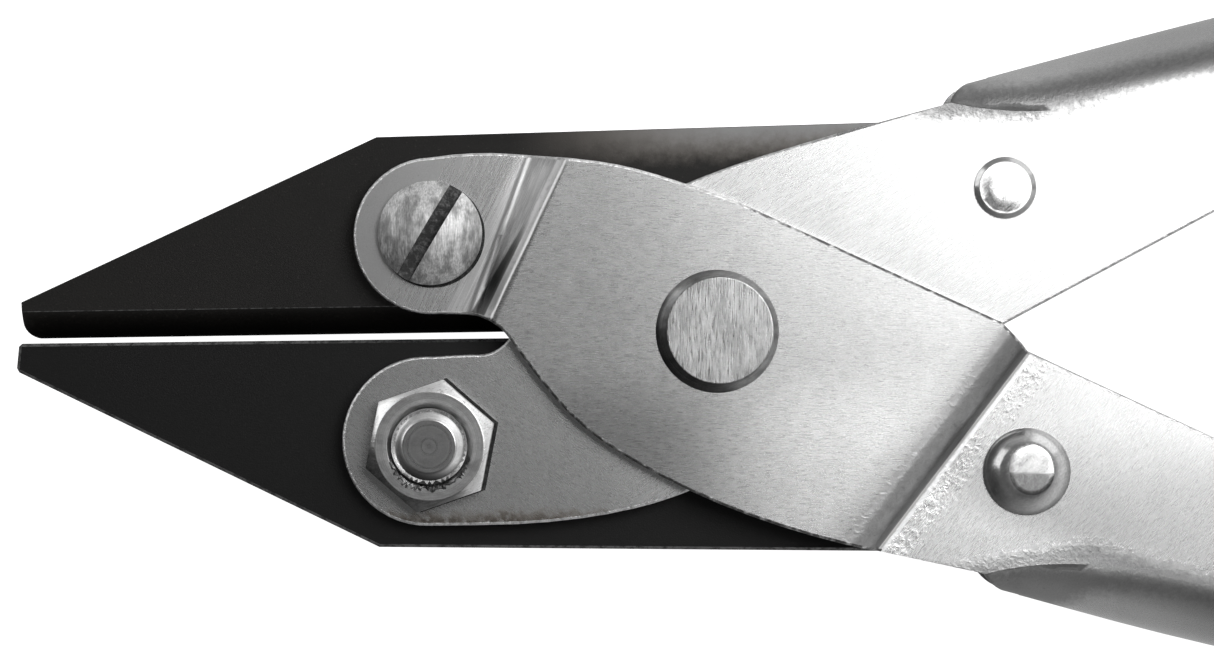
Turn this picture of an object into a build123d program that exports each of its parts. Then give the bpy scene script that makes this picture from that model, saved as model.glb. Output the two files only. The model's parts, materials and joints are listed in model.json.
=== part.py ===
from build123d import *
import math
import os

# Parallel-action flat nose pliers, lying on their back. Lengths are millimetres, angles degrees.
# Everything is drawn about the main pivot: +X runs to the handle ends, +Y to the upper jaw and
# +Z to the front side. The whole tool is then moved so that its origin is the middle of its
# footprint, at the height of its lowest point.

# ---- driving dimensions --------------------------------------------------------------------
TOTAL_LENGTH = 140.0
JAW_WIDTH = 8.0
SHEET = 2.0                      # thickness of the pressed handle sheet
SIDE_GAP = 0.1                   # between a jaw and the cheek beside it
CHEEK_GAP = 0.05                 # between the cheeks of the two handles
FIT = 0.03                       # radial clearance of a pin that turns in its hole
PRESS_FIT = 0.01                 # radial clearance of a pin that stays put
OPEN_TURN = 15.5                 # each handle's turn from rest to fully open
CLOSE_TURN = 0.4                 # each handle's turn from rest until the jaws meet

UPPER_PIVOT = (-18.93, 6.72)     # upper jaw on the outer handle
LOWER_PIVOT = (-19.06, -7.36)    # lower jaw on the inner handle
INNER_PIN = (19.23, 9.31)        # pin of the inner handle, in the upper jaw's slot
OUTER_PIN = (20.45, -9.52)       # pin of the outer handle, in the lower jaw's slot

JAW_TIP_X = -46.67
HANDLE_SPREAD = 24.6             # largest distance of a handle's back from the middle line
MAIN_PIN_D = 6.0
SCREW_D = 5.0
SLIDE_PIN_D = 3.5

# ---- levels above the middle plane ---------------------------------------------------------
LOW_IN = JAW_WIDTH / 2 + SIDE_GAP
LOW_OUT = LOW_IN + SHEET
HIGH_IN = LOW_OUT + CHEEK_GAP
HIGH_OUT = HIGH_IN + SHEET
HANDLE_END_X = JAW_TIP_X + TOTAL_LENGTH
FAR = 110.0                      # longer than anything that a cutting tool has to pass


# ---- helpers -------------------------------------------------------------------------------
def outlined(*lines):
    return Face(Wire([edge for line in lines for edge in line.edges()]))


def slab(outline, low, high):
    """An outline in plan, made solid between two heights."""
    return extrude(Pos(0, 0, low) * outline, amount=high - low, dir=(0, 0, 1))


def both_sides(solid):
    """A solid and its mirror image on the other side of the middle plane."""
    return solid + mirror(solid, about=Plane.XY)


def drill(point, radius, low, high):
    return Pos(point[0], point[1], (low + high) / 2) * Cylinder(radius, high - low)


def turned(point, degrees):
    """A point turned about the main pivot."""
    a = math.radians(degrees)
    return (
        point[0] * math.cos(a) - point[1] * math.sin(a),
        point[0] * math.sin(a) + point[1] * math.cos(a),
    )


def revolved(*points):
    """A solid of revolution about Z from (radius, height) points."""
    return revolve(Plane.XZ * outlined(Polyline(*points, close=True)), axis=Axis.Z)


# ---- jaws ----------------------------------------------------------------------------------
SLOT_PLAY = 0.1                  # each side of a sliding pin
JAW_FACE_Y = -0.31               # the flat gripping face of the lower jaw
CROWN_RISE = 1.8                 # the upper jaw's gripping side is crowned across its width
CROWN_START = (-49.0, 0.005)     # a point ahead of the tip on the crown's lowest line
CROWN_TILT = 0.2                 # so the jaws meet first at the tip
NOSE_R = 1.1                     # rounding of the upper jaw's nose
JAW_TAIL_R = 3.0


def seen_from_jaw(pin, pivot, pin_sign, turn):
    """Where a pin of one handle stands for a jaw whose pivot is on the other handle."""
    pin_now = turned(pin, pin_sign * turn)
    pivot_now = turned(pivot, -pin_sign * turn)
    return (pin_now[0] - pivot_now[0] + pivot[0], pin_now[1] - pivot_now[1] + pivot[1])


def jaw_slot(pin, pivot, pin_sign):
    """The slot that lets a pin slide while the jaw stays parallel."""
    start = seen_from_jaw(pin, pivot, pin_sign, -CLOSE_TURN)
    end = seen_from_jaw(pin, pivot, pin_sign, OPEN_TURN)
    run = math.dist(start, end) + 2 * SLOT_PLAY
    angle = math.degrees(math.atan2(end[1] - start[1], end[0] - start[0]))
    middle = Pos((start[0] + end[0]) / 2, (start[1] + end[1]) / 2)
    slot = middle * Rot(0, 0, angle) * SlotCenterToCenter(run, SLIDE_PIN_D + 2 * SLOT_PLAY)
    return slab(slot, -JAW_WIDTH, JAW_WIDTH)


def jaw_blank(nose, back, tail_x, throat):
    """A jaw's solid: its nose, its sloping back, its tail and the side that faces the throat."""
    outline = Polyline(*nose, *back, *throat, close=True)
    blank = slab(outlined(outline), -JAW_WIDTH / 2, JAW_WIDTH / 2)
    tail = [e for e in blank.edges().filter_by(Axis.Z) if abs(e.center().X - tail_x) < 0.01]
    return fillet(tail, JAW_TAIL_R)


def crown():
    """A long bar whose lower side is the crowned gripping surface."""
    half = JAW_WIDTH / 2
    depth = 2 * HANDLE_SPREAD
    section = outlined(
        ThreePointArc((-half, CROWN_RISE), (0, 0), (half, CROWN_RISE)),
        Polyline((half, CROWN_RISE), (half, depth), (-half, depth), (-half, CROWN_RISE)),
    )
    across = Plane(origin=(0, 0, 0), x_dir=(0, 0, -1), z_dir=(1, 0, 0))
    bar = extrude(across * section, amount=TOTAL_LENGTH, dir=(1, 0, 0))
    return Pos(*CROWN_START) * Rot(0, 0, CROWN_TILT) * bar


def upper_jaw():
    tail_x = 24.0
    front_x = -46.3
    blank = jaw_blank(
        [(front_x + 0.1, 0), (front_x, 2.45)],
        [(-22.5, 13.2), (10.8, 13.8), (tail_x, 13.8)],
        tail_x,
        [(tail_x, 5.0), (17.5, 4.3), (9.0, 0)],
    )
    nose = [e for e in blank.edges().filter_by(Axis.Z) if e.center().X < front_x + 1 and e.center().Y < 1]
    jaw = fillet(nose, NOSE_R) & crown()
    jaw -= drill(UPPER_PIVOT, SCREW_D / 2 + FIT, -JAW_WIDTH, JAW_WIDTH)
    return jaw - jaw_slot(INNER_PIN, UPPER_PIVOT, 1)


def lower_jaw():
    tail_x = 25.2
    jaw = jaw_blank(
        [(-46.48, JAW_FACE_Y), (JAW_TIP_X, -2.14)],
        [(-22.62, -14.13), (10.5, -14.76), (tail_x, -14.76)],
        tail_x,
        [(tail_x, -5.2), (17.5, -4.6), (9.0, JAW_FACE_Y)],
    )
    jaw -= drill(LOWER_PIVOT, SCREW_D / 2 + FIT, -JAW_WIDTH, JAW_WIDTH)
    return jaw - jaw_slot(OUTER_PIN, LOWER_PIVOT, -1)


# ---- handles: pressed sheet, two cheeks in front and a channel behind ------------------------
BACK_R = 4.3                     # outer radius of the channel's two long bends
FIRST_BACK_R = 2.2               # they start this tight and widen
BEND_GROWTH = 5.5                # over about this length
BEND_STEPS = 26
ROOT_R = 0.4                     # inside the channel's bends
BEND_LAP = 0.05                  # the flat of a cheek stops this far before the bend
FOLD_LEAD = 8.0                  # the bends are rolled this much longer, then trimmed
BACK_SLOPE = 14.5
PIN_HOLE_R = SLIDE_PIN_D / 2 + PRESS_FIT
SCREW_HOLE_R = SCREW_D / 2 + PRESS_FIT
MAIN_HOLE_R = MAIN_PIN_D / 2 + FIT
CLINCH_R = 4.0                   # widest radius of the main pin's clinched end
CLINCH_DEPTH = 1.0
END_R = 4.0                      # corner radius at the handle's end
END_LEAN = 5.0                   # how far the end leans towards the middle line
END_SPARE = 0.4                  # the trimmed end is this much wider than the handle
INNER_FOLD = (15.7, 14.98)       # where the cheek's edge turns out into the folded back
OUTER_FOLD = (17.6, -16.28)
INNER_WEB_X = 18.3               # front edge of the web between the cheeks
OUTER_WEB_X = 20.0
# The outer cheek's two steps: direction away from the pivot, then the distances of the upper
# and lower corners of the step.
FRONT_FOLD = (156.6, 13.78, 15.61)
REAR_FOLD = (-37.9, 16.5, 17.25)
FRONT_TOP_R = 0.55
FRONT_FOOT_R = 1.0
REAR_TOP_R = 1.6
REAR_FOOT_R = 0.35
UNDER_TOP_R = 0.4                # the same corners on the underside of the sheet
UNDER_FOOT_R = 1.0
# The front step's upper and lower corners in plan, from the throat to the handle's upper edge.
FRONT_STEP_TOP = [(-15.05, 1.05), (-10.06, 11.08)]
FRONT_STEP_FOOT = [(-15.89, 1.26), (-12.46, 11.17)]

# The back of each handle in plan, from the start of the fold to the end of the handle.
INNER_BACK = [
    (17.2, 16.45), (24.0, 18.25), (33.0, 20.5), (44.0, 22.9), (60.0, HANDLE_SPREAD), (78.0, 23.9),
]
OUTER_BACK = [
    (19.6, -17.7), (26.0, -19.57), (34.0, -21.65), (44.0, -23.6), (60.0, -HANDLE_SPREAD), (78.0, -23.9),
]
END_BACK_Y = 22.2
# The open side of each handle, from the throat to the end of the handle.
INNER_EDGE = [(33.0, 7.5), (44.0, 12.2), (58.0, 15.0), (76.0, 14.6)]
OUTER_EDGE = [(33.0, -7.45), (44.0, -12.2), (58.0, -15.0), (76.0, -14.6)]
END_EDGE_Y = 13.4


def bend_radius(beyond_start):
    """The channel's bends widen from the point where the fold starts."""
    return BACK_R - (BACK_R - FIRST_BACK_R) * math.exp(-max(beyond_start, 0) / BEND_GROWTH)


def inner_cheek():
    """The inner handle's cheek: front lobe, pivot boss, arm and one wall of the channel."""
    lobe_left = (-24.93, -7.2)
    lobe_top = (-18.9, -1.45)
    lobe_bottom = (-19.1, -12.68)
    neck = (-16.2, -1.33)
    boss_start = (-13.4, 0.5)
    shoulder = (8.1, 13.02)
    wall_top = [(x, y - bend_radius(x - INNER_BACK[0][0]) - BEND_LAP) for x, y in INNER_BACK[1:]]
    end_top = (HANDLE_END_X, END_BACK_Y - BACK_R - BEND_LAP)
    end_low = (HANDLE_END_X, END_EDGE_Y)
    return outlined(
        ThreePointArc(lobe_bottom, lobe_left, lobe_top),
        Line(lobe_top, neck),
        ThreePointArc(neck, (-14.25, -0.8), boss_start),
        Spline(boss_start, (-9.1, 5.75), (-3.6, 9.1), (2.33, 11.35), shoulder),
        Line(shoulder, INNER_FOLD),
        Spline(INNER_FOLD, *wall_top, end_top),
        Line(end_top, end_low),
        Spline(end_low, *reversed(INNER_EDGE), tangents=[(-1, 0.05), (-1, -0.5206)]),
        Line(INNER_EDGE[0], (-0.6, -9.95)),
        Spline((-0.6, -9.95), (-4.6, -11.45), (-11.6, -12.55), lobe_bottom,
               tangents=[(-1, -0.5206), (-1, 0)]),
    )


def outer_cheek():
    """The outer handle's cheek, before it is pressed outwards over the inner handle's cheek."""
    lobe_left = (-24.03, 6.6)
    lobe_top = (-18.9, 11.74)
    lobe_bottom = (-18.3, 1.36)
    neck = (-16.6, 1.3)
    wall_end = (HANDLE_END_X, -END_EDGE_Y)
    wall_top = [(x, y + bend_radius(x - OUTER_BACK[0][0]) + BEND_LAP) for x, y in OUTER_BACK[1:]]
    end_back = (HANDLE_END_X, -END_BACK_Y + BACK_R + BEND_LAP)
    return outlined(
        ThreePointArc(lobe_bottom, lobe_left, lobe_top),
        Spline(lobe_top, (-15.4, 12.0), (-10.9, 11.68), (-6.3, 11.05), (-1.73, 9.69), (2.26, 8.15),
               tangents=[(1, 0.15), (1, -0.46)]),
        Line((2.26, 8.15), (18.78, 0.4)),
        Line((18.78, 0.4), (20.63, -1.56)),
        Line((20.63, -1.56), OUTER_EDGE[0]),
        Spline(*OUTER_EDGE, wall_end, tangents=[(1, -0.475), (1, 0.05)]),
        Line(wall_end, end_back),
        Spline(end_back, *reversed(wall_top), OUTER_FOLD),
        Line(OUTER_FOLD, (10.5, -14.68)),
        Spline((10.5, -14.68), (5.45, -13.36), (-0.41, -11.2), (-5.43, -8.62), (-9.06, -6.06),
               (-11.73, -3.09), (-13.72, -0.32)),
        ThreePointArc((-13.72, -0.32), (-14.9, 0.78), neck),
        Line(neck, lobe_bottom),
    )


def bend_section(x, y, beyond_start):
    """What lies outside the channel's back where its outer face is at y."""
    radius = bend_radius(beyond_start)
    bend = y - radius
    corner = radius * (1 - math.sqrt(0.5))
    flank = LOW_OUT - radius
    reach = HANDLE_SPREAD + BACK_R
    section = outlined(
        ThreePointArc((bend, LOW_OUT), (y - corner, LOW_OUT - corner), (y, flank)),
        Line((y, flank), (y, -flank)),
        ThreePointArc((y, -flank), (y - corner, corner - LOW_OUT), (bend, -LOW_OUT)),
        Polyline((bend, -LOW_OUT), (bend, -HIGH_OUT), (reach, -HIGH_OUT),
                 (reach, HIGH_OUT), (bend, HIGH_OUT), (bend, LOW_OUT)),
    )
    return Plane(origin=(x, 0, 0), x_dir=(0, 1, 0), z_dir=(1, 0, 0)) * section


def channel_back(back, fold_start, web_x, sign):
    """The folded back of a handle: a web with two long bends, open towards the other handle."""
    back = [(x, sign * y) for x, y in back]
    front = back[0]
    start = (fold_start[0], sign * fold_start[1])

    def line(lead, tail, inwards=0.0):
        before = (front[0] - lead, front[1] - lead * math.tan(math.radians(BACK_SLOPE)))
        points = [before, *back, (HANDLE_END_X + tail, END_BACK_Y)]
        return Spline(*[(x, y - inwards) for x, y in points])

    def strip(near, far):
        top = line(FOLD_LEAD, 1, near)
        low = line(FOLD_LEAD, 1, far)
        return outlined(top, Line(top @ 1, low @ 1), low, Line(low @ 0, top @ 0))

    solid = slab(strip(-1, BACK_R + 2 * BEND_LAP), -LOW_OUT, LOW_OUT)
    places = [line(FOLD_LEAD + 1, 2) @ (step / BEND_STEPS) for step in range(BEND_STEPS + 1)]
    solid -= loft([bend_section(p.X, p.Y, p.X - front[0]) for p in places], ruled=True)
    hollow = slab(strip(SHEET, 2 * BACK_R + SHEET), -LOW_IN, LOW_IN)
    roots = [e for e in hollow.edges() if abs(abs(e.center().Z) - LOW_IN) < 0.01 and e.length > 50]
    roots = sorted(roots, key=lambda e: e.center().Y)[-2:]
    solid -= fillet(roots, ROOT_R)
    bend_in = (0.75 * start[0] + 0.25 * front[0] - 0.1, 0.6 * start[1] + 0.4 * front[1])
    ahead = outlined(
        ThreePointArc(start, bend_in, front),
        Polyline(front, (front[0], FAR), (0, FAR), (0, 0), (start[0], 0), start),
    )
    solid -= slab(ahead, -FAR, FAR)
    solid -= Pos(web_x - FAR / 2, 0, 0) * Box(FAR, 2 * FAR, 2 * LOW_IN)
    return solid if sign > 0 else mirror(solid, about=Plane.XZ)


def end_cut(sign):
    """What is trimmed off so that a handle ends in two rounded corners."""
    length = 10 * END_R
    middle = Pos(HANDLE_END_X, sign * (END_BACK_Y + END_EDGE_Y) / 2)
    rounded = RectangleRounded(length, END_BACK_Y - END_EDGE_Y + END_SPARE, END_R)
    keep = middle * Rot(0, 0, -sign * END_LEAN) * Pos(-length / 2, 0) * rounded
    block = middle * Pos(-END_R, 0) * Rectangle(length, length, align=(Align.MIN, Align.CENTER))
    return slab(block - keep, -FAR, FAR)


def fold_plane(away_degrees):
    """A plane across a fold line: its x is the distance from the pivot, its y is the height."""
    a = math.radians(away_degrees)
    return Plane(
        origin=(0, 0, 0),
        x_dir=(math.cos(a), math.sin(a), 0),
        z_dir=(math.sin(a), -math.cos(a), 0),
    )


def rounded_corners(points, radii):
    """A polygon whose named corners are rounded: radii maps a point's place to its radius."""
    shape = Face(Wire(Polyline(*points, close=True).edges()))
    for place, radius in radii.items():
        corner = [v for v in shape.vertices() if math.dist((v.X, v.Y), points[place]) < 0.001]
        shape = shape.fillet_2d(radius, corner)
    return shape


def step_profile(high, foot, reach, top_r, foot_r):
    """The space above a sheet that steps down between the distances high and foot."""
    top = HIGH_OUT + SHEET
    points = [
        (high - 1.5, top),
        (high - 1.5, HIGH_OUT),
        (high, HIGH_OUT),
        (foot, LOW_OUT),
        (reach, LOW_OUT),
        (reach, top),
    ]
    return rounded_corners(points, {2: top_r, 3: foot_r})


def over_rear_fold():
    away, high, foot = REAR_FOLD
    profile = step_profile(high, foot, FAR, REAR_TOP_R, REAR_FOOT_R)
    return extrude(fold_plane(away) * profile, amount=FAR, both=True)


def over_front_fold():
    """The front step fans out: narrow beside the throat, wider at the handle's upper edge."""
    sections = []
    for along in (-0.25, 1.25):
        high = [p + along * (q - p) for p, q in zip(*FRONT_STEP_TOP)]
        foot = [p + along * (q - p) for p, q in zip(*FRONT_STEP_FOOT)]
        out = math.atan2(foot[1] - high[1], foot[0] - high[0])
        plane = Plane(
            origin=(high[0], high[1], 0),
            x_dir=(math.cos(out), math.sin(out), 0),
            z_dir=(math.sin(out), -math.cos(out), 0),
        )
        sections.append(plane * step_profile(0, math.dist(high, foot), 20, FRONT_TOP_R, FRONT_FOOT_R))
    return loft(sections, ruled=True)


def under_fold(away_degrees, high, foot):
    """What is hollowed out below the raised sheet, up to the underside of its step."""
    rise = math.atan2(HIGH_OUT - LOW_OUT, foot - high)
    shift = SHEET * math.tan(rise / 2)
    points = [
        (-FAR, 0),
        (-FAR, HIGH_IN),
        (high - shift, HIGH_IN),
        (foot - shift, LOW_IN),
        (foot + 1, LOW_IN),
        (foot + 1, 0),
    ]
    profile = rounded_corners(points, {2: UNDER_TOP_R, 3: UNDER_FOOT_R})
    return extrude(fold_plane(away_degrees) * profile, amount=FAR, both=True)


def inner_handle():
    wall = slab(inner_cheek(), LOW_IN, LOW_OUT)
    wall -= drill((0, 0), MAIN_HOLE_R, 0, FAR)
    wall -= Pos(0, 0, LOW_IN + CLINCH_DEPTH / 2) * Cone(CLINCH_R + FIT, MAIN_HOLE_R, CLINCH_DEPTH)
    wall -= drill(LOWER_PIVOT, SCREW_HOLE_R, 0, FAR)
    wall -= drill(INNER_PIN, PIN_HOLE_R, 0, FAR)
    back = channel_back(INNER_BACK, INNER_FOLD, INNER_WEB_X, 1)
    return both_sides(wall) + back - end_cut(1)


def outer_handle():
    wall = slab(outer_cheek(), LOW_IN, HIGH_OUT)
    wall -= over_front_fold()
    wall -= over_rear_fold()
    wall -= wall & under_fold(*FRONT_FOLD) & under_fold(*REAR_FOLD)
    wall -= drill((0, 0), MAIN_HOLE_R, 0, FAR)
    wall -= drill(UPPER_PIVOT, SCREW_HOLE_R, 0, FAR)
    wall -= drill(OUTER_PIN, PIN_HOLE_R, 0, FAR)
    back = channel_back(OUTER_BACK, OUTER_FOLD, OUTER_WEB_X, -1)
    return both_sides(wall) + back - end_cut(-1)


# ---- pins and fasteners --------------------------------------------------------------------
MAIN_HEAD_R = 4.1
MAIN_FACE_R = 3.52
MAIN_HEAD_H = 0.5
SCREW_HEAD_R = 3.45
SCREW_RIM_H = 0.9
SCREW_HEAD_H = 2.1
DRIVE_SLOT = (0.95, 1.2)         # width and depth of the screw's slot
DRIVE_ANGLE = 58.7
NUT_FLATS = 7.75
NUT_H = 2.6
NUT_FACE_R = 3.6
NUT_SINK_R = 2.8
NUT_ANGLE = 18.4                 # of the front nut; the back nut turns a flat to the step beside it
BACK_NUT_ANGLE = 6.6
SCREW_END_H = 0.9                # how far the screw's end stands out of its nut
SCREW_ROOT = 0.5                 # how far the screw's shank runs into its head
SCREW_END_R = 1.8                # flat on the screw's end, inside a 45 degree bevel
SLIDE_HEAD_R = 2.9
SLIDE_HEAD_H = 1.7
SLIDE_END_R = 2.05
SLIDE_END_H = 0.75


def dome(radius, rim, height):
    """A button: a short rim with a domed top, standing on z = 0."""
    rise = height - rim
    sphere_r = (radius**2 + rise**2) / (2 * rise)
    ball = Pos(0, 0, height - sphere_r) * Sphere(sphere_r)
    return Cylinder(radius, height, align=(Align.CENTER, Align.CENTER, Align.MIN)) & ball


def main_rivet():
    """The front main pivot pin: bevelled head outside, clinched end inside."""
    shank_r = MAIN_PIN_D / 2
    under_head = HIGH_OUT + 0.01
    return revolved(
        (0, LOW_IN + 0.02),
        (CLINCH_R - 0.02, LOW_IN + 0.02),
        (shank_r, LOW_IN + CLINCH_DEPTH),
        (shank_r, under_head),
        (MAIN_HEAD_R, under_head),
        (MAIN_HEAD_R - 0.1, under_head + 0.15),
        (MAIN_FACE_R, HIGH_OUT + MAIN_HEAD_H),
        (0, HIGH_OUT + MAIN_HEAD_H),
    )


def slotted_screw():
    """A slotted screw with its head on +Z, long enough for both cheeks and the nut."""
    end_z = -(LOW_OUT + NUT_H + SCREW_END_H)
    bevel = SCREW_D / 2 - SCREW_END_R
    shank = revolved(
        (0, end_z),
        (SCREW_END_R, end_z),
        (SCREW_D / 2, end_z + bevel),
        (SCREW_D / 2, LOW_OUT + SCREW_ROOT),
        (0, LOW_OUT + SCREW_ROOT),
    )
    head = Pos(0, 0, LOW_OUT) * dome(SCREW_HEAD_R, SCREW_RIM_H, SCREW_HEAD_H)
    cut = Pos(0, 0, LOW_OUT + SCREW_HEAD_H) * Rot(0, 0, DRIVE_ANGLE)
    return shank + head - cut * Box(4 * SCREW_HEAD_R, DRIVE_SLOT[0], 2 * DRIVE_SLOT[1])


def nut(angle):
    """A thin hexagon nut that faces +Z."""
    corner_r = NUT_FLATS / math.sqrt(3)
    flats = RegularPolygon(corner_r, 6, rotation=angle)
    bevel_h = (corner_r - NUT_FACE_R) * math.tan(math.radians(30))
    turned_blank = revolved(
        (0, 0), (corner_r, 0), (corner_r, NUT_H - bevel_h), (NUT_FACE_R, NUT_H), (0, NUT_H),
    )
    sink_h = NUT_SINK_R - SCREW_HOLE_R
    sink = Pos(0, 0, NUT_H - sink_h / 2) * Cone(SCREW_HOLE_R, NUT_SINK_R, sink_h)
    solid = (slab(flats, 0, NUT_H) & turned_blank) - Cylinder(SCREW_HOLE_R, 4 * NUT_H) - sink
    return Pos(0, 0, LOW_OUT) * solid


def slide_rivet():
    """A pin for a jaw's slot, with a domed head on +Z and a low closed end on -Z."""
    shank = Cylinder(SLIDE_PIN_D / 2, 2 * LOW_OUT + 1)
    head = Pos(0, 0, LOW_OUT) * dome(SLIDE_HEAD_R, 0.25, SLIDE_HEAD_H)
    end = Pos(0, 0, -LOW_OUT) * Rot(180, 0, 0) * dome(SLIDE_END_R, 0.3, SLIDE_END_H)
    return shank + head + end


def at(point, solid, facing_back=False):
    """A fastener put on its axis, turned over when it goes in from the back."""
    if facing_back:
        solid = mirror(solid, about=Plane.XY)
    return Pos(point[0], point[1]) * solid


# ---- the whole tool ------------------------------------------------------------------------
def assembly():
    return {
        "upper_jaw": upper_jaw(),
        "lower_jaw": lower_jaw(),
        "outer_handle": outer_handle(),
        "inner_handle": inner_handle(),
        "main_rivet_front": main_rivet(),
        "main_rivet_back": mirror(main_rivet(), about=Plane.XY),
        "upper_jaw_screw": at(UPPER_PIVOT, slotted_screw()),
        "upper_jaw_nut": at(UPPER_PIVOT, nut(BACK_NUT_ANGLE), facing_back=True),
        "lower_jaw_screw": at(LOWER_PIVOT, slotted_screw(), facing_back=True),
        "lower_jaw_nut": at(LOWER_PIVOT, nut(NUT_ANGLE)),
        "outer_handle_slide_rivet": at(OUTER_PIN, slide_rivet()),
        "inner_handle_slide_rivet": at(INNER_PIN, slide_rivet(), facing_back=True),
    }


def main():
    os.makedirs("parts", exist_ok=True)
    origin = Pos(
        -(JAW_TIP_X + HANDLE_END_X) / 2,
        0,
        LOW_OUT + NUT_H + SCREW_END_H,
    )
    for name, solid in assembly().items():
        export_step(origin * solid, f"parts/{name}.step")


main()
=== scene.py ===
import json
import math
import random

import bmesh
import bpy
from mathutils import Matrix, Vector


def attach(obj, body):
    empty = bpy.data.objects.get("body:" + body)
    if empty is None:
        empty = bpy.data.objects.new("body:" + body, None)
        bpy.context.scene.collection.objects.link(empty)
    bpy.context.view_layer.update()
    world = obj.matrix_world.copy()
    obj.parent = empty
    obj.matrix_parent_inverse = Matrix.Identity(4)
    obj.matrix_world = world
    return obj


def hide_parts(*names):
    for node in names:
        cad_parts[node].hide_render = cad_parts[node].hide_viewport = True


MM = 0.001

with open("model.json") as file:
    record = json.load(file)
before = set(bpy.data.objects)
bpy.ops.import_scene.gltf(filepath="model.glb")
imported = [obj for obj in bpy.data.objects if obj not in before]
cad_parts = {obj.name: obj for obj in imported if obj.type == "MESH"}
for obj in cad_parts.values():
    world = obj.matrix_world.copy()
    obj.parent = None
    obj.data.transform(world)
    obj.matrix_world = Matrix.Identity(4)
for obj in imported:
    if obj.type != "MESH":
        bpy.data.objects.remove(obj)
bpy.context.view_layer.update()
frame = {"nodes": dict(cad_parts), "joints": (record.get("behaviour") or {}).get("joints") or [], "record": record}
NODES = frame["nodes"]
BODIES = frame["record"]["behaviour"]["bodies"]
BODY_OF = {node: body for body, nodes in BODIES.items() for node in nodes}


def joint_place(name):
    return Vector(next(j["pos_m"] for j in frame["joints"] if j["name"] == name))


PIVOT = joint_place("outer_handle_swing")
UPPER_PIVOT = joint_place("upper_jaw_turn")
LOWER_PIVOT = joint_place("lower_jaw_turn")


def from_pivot(place):
    """A place in millimetres from the main pivot."""
    return (place - PIVOT) * 1000


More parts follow.
